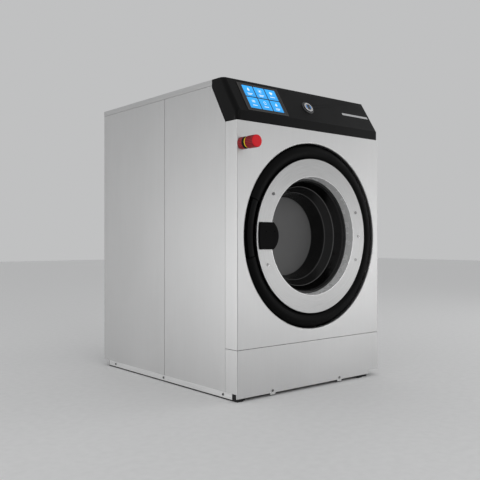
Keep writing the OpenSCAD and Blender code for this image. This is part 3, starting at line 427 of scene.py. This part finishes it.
def lathe(name, profile, centre, material, steps):
    """Closed profile of (radius, depth) turned about the door's axis, depth going back."""
    bm = bmesh.new()
    rings = []
    for i in range(steps):
        a = 2 * math.pi * i / steps
        ring = []
        for r, d in profile:
            ring.append(bm.verts.new((centre[0] + r * math.cos(a), centre[1] + d,
                                      centre[2] + r * math.sin(a))))
        rings.append(ring)
    n = len(profile)
    for i in range(steps):
        a, b = rings[i], rings[(i + 1) % steps]
        for j in range(n):
            k = (j + 1) % n
            bm.faces.new((a[j], a[k], b[k], b[j]))
    bmesh.ops.remove_doubles(bm, verts=bm.verts, dist=1e-6)
    bmesh.ops.recalc_face_normals(bm, faces=bm.faces)
    return obj_from_bmesh(bm, name, material)


# ---------------------------------------------------------------- softened edges

EDGE_SEGMENTS = 3
EDGE_ANGLE = math.radians(28.0)     # edges sharper than this are rounded
JOIN = 0.00002                      # corners nearer than this are joined first


def soften(node, width):
    """Rounds the sharp edges of a CAD node with modifiers, which leave its own mesh alone."""
    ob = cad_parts[node]
    weld = ob.modifiers.new("join", "WELD")
    weld.merge_threshold = JOIN
    mod = ob.modifiers.new("edge", "BEVEL")
    mod.width = width
    mod.segments = EDGE_SEGMENTS
    mod.limit_method = "ANGLE"
    mod.angle_limit = EDGE_ANGLE
    mod.harden_normals = True


for node, width in (("fascia", 0.0022), ("handle_hub", 0.0012), ("handle_grip", 0.0012),
                    ("display_bezel", 0.0005), ("dispenser_lid", 0.0010), ("top_panel", 0.0006),
                    ("estop_base", 0.0006)):
    soften(node, width)


# ---------------------------------------------------------------- display and badge

SLOPE_RISE = 0.119
SLOPE_RUN = 0.0736
SLOPE = math.atan2(SLOPE_RISE, SLOPE_RUN)
UP = Vector((0.0, math.cos(SLOPE), math.sin(SLOPE)))
OUT = Vector((0.0, -math.sin(SLOPE), math.cos(SLOPE)))
# lower edge of the slope, from which points are measured up it
SLOPE_0 = Vector((0.0, FRONT_Y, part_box("top_panel")[1].z - SLOPE_RISE))


def on_slope(x, s, n):
    """Point x across, s up the slope and n out from it."""
    return SLOPE_0 + Vector((x, 0.0, 0.0)) + UP * s + OUT * n


def plate(name, outline, s_origin, thickness, material, bevel=0.0):
    """Thin plate with an outline in (x, up-slope) metres about a point on the slope."""
    bm = bmesh.new()
    x0, s0, n0 = s_origin
    bottom = [bm.verts.new(on_slope(x0 + x, s0 + s, n0)) for x, s in outline]
    top = [bm.verts.new(on_slope(x0 + x, s0 + s, n0 + thickness)) for x, s in outline]
    bm.faces.new(top)
    bm.faces.new(list(reversed(bottom)))
    n = len(outline)
    for i in range(n):
        j = (i + 1) % n
        bm.faces.new((bottom[i], bottom[j], top[j], top[i]))
    ob = obj_from_bmesh(bm, name, material, smooth=False)
    if bevel:
        mod = ob.modifiers.new("edge", "BEVEL")
        mod.width = bevel
        mod.segments = 2
        mod.limit_method = "ANGLE"
    return ob


def rounded_rect(w, h, r, steps=6):
    """Outline of a rectangle with round corners, about its middle."""
    pts = []
    for cx, cy, a0 in ((w / 2 - r, h / 2 - r, 0), (-w / 2 + r, h / 2 - r, 90),
                       (-w / 2 + r, -h / 2 + r, 180), (w / 2 - r, -h / 2 + r, 270)):
        for i in range(steps + 1):
            a = math.radians(a0 + 90 * i / steps)
            pts.append((cx + r * math.cos(a), cy + r * math.sin(a)))
    return pts


bez_lo, bez_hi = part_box("display_bezel")
SCREEN_X = (bez_lo.x + bez_hi.x) / 2
SCREEN_S = 0.0668   # middle of the tiles, up the slope
TILE = 0.0474       # side of a tile
TILE_R = 0.0015     # its corners
TILE_T = 0.0003     # its thickness
PITCH = 0.0518      # distance between tiles
FACE = 0.0011       # height that the tiles start at, above the slope


def circle(r, steps=20, a0=0.0, a1=360.0):
    """Points on a circle, or on an arc of it from a0 to a1 degrees."""
    count = steps if a1 - a0 >= 360.0 else steps + 1
    angles = [math.radians(a0 + (a1 - a0) * i / steps) for i in range(count)]
    return [(r * math.cos(a), r * math.sin(a)) for a in angles]


def arc_band(r0, r1, a0, a1):
    """Outline of a curved bar between two radii."""
    return circle(r1, a0=a0, a1=a1) + circle(r0, a0=a0, a1=a1)[::-1]


def bar(w, h, cx=0.0, cy=0.0):
    """Outline of a straight bar with round ends, in the units of w and h."""
    return [(cx + x, cy + y) for x, y in rounded_rect(w, h, h * 0.45, 3)]


# icon outlines, in millimetres about the middle of the icon
DROP = [(0.0, 8.5), (2.6, 4.2), (4.6, 0.6), (4.9, -2.2), (3.4, -5.0), (0.0, -6.2), (-3.4, -5.0),
        (-4.9, -2.2), (-4.6, 0.6), (-2.6, 4.2)]
SHIRT = [(-3.2, 6.0), (-1.4, 4.6), (1.4, 4.6), (3.2, 6.0), (8.4, 2.6), (6.4, -0.8), (4.4, 0.2),
         (4.4, -6.4), (-4.4, -6.4), (-4.4, 0.2), (-6.4, -0.8), (-8.4, 2.6)]
FLAME = [(0.6, 8.6), (2.2, 4.4), (5.0, 1.2), (5.0, -2.8), (2.6, -6.0), (-1.8, -6.2), (-4.8, -3.2),
         (-4.6, 0.4), (-2.6, 2.2), (-1.2, 0.6), (-0.4, 4.4)]


def to_metres(points):
    return [(x * 0.001, y * 0.001) for x, y in points]


def turned_points(points, degrees):
    """Points turned about the middle of the icon."""
    c, s = math.cos(math.radians(degrees)), math.sin(math.radians(degrees))
    return [(x * c - y * s, x * s + y * c) for x, y in points]


SUN = [circle(4.2)] + [turned_points(bar(3.2, 1.4, 7.6, 0.0), 45 * i) for i in range(8)]
WAVES = [bar(14.0, 1.8, 0.0, 3.6), bar(14.0, 1.8, 0.0, 0.0), bar(14.0, 1.8, 0.0, -3.6)]
SPIN = [arc_band(4.6, 6.6, 20, 160), arc_band(4.6, 6.6, 200, 340)]
ICONS = {(0, 0): [DROP], (0, 1): SUN, (0, 2): [SHIRT],
         (1, 0): WAVES, (1, 1): SPIN, (1, 2): [FLAME]}
ICON_S = 0.007                          # heights from the middle of the tile: the icon,
BAR_S = -0.0105                         # the bar under it
BAR2_S = -0.0155                        # and the second bar
TWO_BARS = ((0, 0), (0, 1), (1, 2))     # tiles that have the second bar
MARK_T = 0.0002                         # thickness of icons and bars

for row in range(2):
    for col in range(3):
        cx = SCREEN_X + (col - 1) * PITCH
        cs = SCREEN_S + (0.5 - row) * PITCH
        t = plate(f"tile_{row}_{col}", rounded_rect(TILE, TILE, TILE_R), (cx, cs, FACE), TILE_T,
                  M["tile"])
        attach(t, "cabinet")
        marks = [(to_metres(shape), ICON_S) for shape in ICONS[row, col]]
        marks.append((to_metres(bar(24.0 - 4 * row, 2.6)), BAR_S))
        if (row, col) in TWO_BARS:
            marks.append((to_metres(bar(17.0, 2.2, -2.0)), BAR2_S))
        for k, (shape, ds) in enumerate(marks):
            mark = plate(f"icon_{row}_{col}_{k}", shape, (cx, cs + ds, FACE + TILE_T), MARK_T,
                         M["icon"])
            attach(mark, "cabinet")

# blank name strip at the right of the fascia
BADGE_W, BADGE_H, BADGE_R, BADGE_T = 0.148, 0.0100, 0.0012, 0.0008
BADGE_AT = (0.262, 0.0645, 0.0001)
badge = plate("name_strip", rounded_rect(BADGE_W, BADGE_H, BADGE_R), BADGE_AT, BADGE_T,
              M["chrome"], 0.0003)
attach(badge, "cabinet")

# dial of the jog knob: dark lens with two glowing blue arcs at left and right, the blue LED light
# of the dial drawn only where its glints fall, as painted glints
KNOB_S = 0.0625     # knob's axis, up the slope
KNOB_FACE = 0.0065  # dished face of the knob, above the slope
LENS_R = 0.0125
LENS_T = 0.0003
LED_R0, LED_R1, LED_T = 0.0085, 0.0115, 0.0001
lens = plate("knob_lens", circle(LENS_R, steps=48), (0.0, KNOB_S, KNOB_FACE), LENS_T, M["lens"])
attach(lens, "knob_cap")
for k, (a0, a1) in enumerate(((140, 220), (-40, 40))):
    arc = plate(f"knob_glint_{k}", arc_band(LED_R0, LED_R1, a0, a1),
                (0.0, KNOB_S, KNOB_FACE + LENS_T), LED_T, M["led_glint"])
    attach(arc, "knob_cap")

# ---------------------------------------------------------------- door and opening

# thin polished bead on the edge of the panel's round opening
ROLL_R = 0.003          # radius of the rolled edge
BEAD_T = 0.0006
LIFT = 0.0001           # keeps the bead off the panel's own surface
OPENING_GAP = 0.005     # from the door's surround to the edge of the opening
opening_r = (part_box("door_surround")[1].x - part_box("door_surround")[0].x) / 2 + OPENING_GAP
quarter = [(opening_r + ROLL_R * (1 - math.sin(math.radians(a))) - LIFT,
            ROLL_R * (1 - math.cos(math.radians(a))) - LIFT) for a in range(0, 91, 10)]
inner = [(r + BEAD_T, d + BEAD_T) for r, d in reversed(quarter)]
bead = lathe("opening_bead", quarter + inner, door_centre, M["bead"], 220)
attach(bead, "cabinet")

# weld of the polished lip, at the hinge side, along the lip's cone
LIP_FRONT_R = 0.2110
LIP_BACK_R = 0.2065
LIP_STRAIGHT = 0.003
LIP_CONE = 0.0275
WELD_STEPS = 8
WELD_FRONT, WELD_LENGTH = 0.004, 0.024
WELD_HALF, WELD_WAVER = 0.0011, 0.0003      # half width, and how much it varies
WELD_RAISE = 0.0007
weld_bm = bmesh.new()
for i in range(WELD_STEPS + 1):
    d = WELD_FRONT + WELD_LENGTH * i / WELD_STEPS
    r = LIP_FRONT_R - (LIP_FRONT_R - LIP_BACK_R) * max(0.0, (d - LIP_STRAIGHT) / LIP_CONE)
    half = WELD_HALF + WELD_WAVER * math.sin(i * 2.1)
    for z, lift in ((-half, 0.0), (0.0, WELD_RAISE), (half, 0.0)):
        weld_bm.verts.new((r - lift - 0.00005, FRONT_Y + d, DOOR_Z + z))
weld_bm.verts.ensure_lookup_table()
for i in range(WELD_STEPS):
    for j in range(2):
        k = i * 3 + j
        weld_bm.faces.new([weld_bm.verts[q] for q in (k, k + 1, k + 4, k + 3)])
weld_line = obj_from_bmesh(weld_bm, "lip_weld", M["lip"])
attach(weld_line, "door")

# ---------------------------------------------------------------- stage, light, camera

floor_mat = Nodes("floor_pale")
floor_mat.set(Roughness=0.6)
speck = floor_mat.noise(floor_mat.coord.outputs["Object"], 40.0, 4.0, 0.5)
floor_mat.link(floor_mat.ramp(speck, [(0.3, (0.80, 0.80, 0.80)), (0.7, (0.84, 0.84, 0.84))]),
               floor_mat.bsdf.inputs["Base Color"])

bm = bmesh.new()
bmesh.ops.create_grid(bm, x_segments=2, y_segments=2, size=14.0)
floor = obj_from_bmesh(bm, "floor", floor_mat.mat, smooth=False)

world = bpy.data.worlds.new("studio")
bpy.context.scene.world = world
world.use_nodes = True
bg = world.node_tree.nodes["Background"]
bg.inputs["Color"].default_value = (0.80, 0.805, 0.81, 1.0)
bg.inputs["Strength"].default_value = 0.66


def area(name, loc, target, size, power):
    """Soft rectangular light at loc, aimed at target."""
    data = bpy.data.lights.new(name, "AREA")
    data.shape = "RECTANGLE"
    data.size, data.size_y = size
    data.energy = power
    ob = bpy.data.objects.new(name, data)
    bpy.context.scene.collection.objects.link(ob)
    ob.location = loc
    ob.rotation_euler = (Vector(target) - Vector(loc)).to_track_quat("-Z", "Y").to_euler()


area("key", (-0.6, -4.6, 2.6), (0, 0, 0.4), (3.4, 1.8), 27)
area("low", (2.4, -3.0, 0.40), (0.3, 0, 0.2), (1.8, 0.5), 11)
area("side", (-4.0, 1.0, 0.40), (0, 0.1, 0.2), (3.4, 0.7), 44)
area("fill", (3.4, -1.4, 1.8), (0, 0, 0.5), (2.0, 2.6), 14)

cam_data = bpy.data.cameras.new("camera")
cam_data.lens = 50.14
cam_data.sensor_width = 36.0
camera = bpy.data.objects.new("camera", cam_data)
bpy.context.scene.collection.objects.link(camera)
camera.location = (-1.7444, -2.0904, 0.5273)
camera.rotation_euler = (math.radians(90.0), 0.0, math.radians(-40.08))
bpy.context.scene.camera = camera
bpy.context.scene.view_settings.view_transform = "Standard"
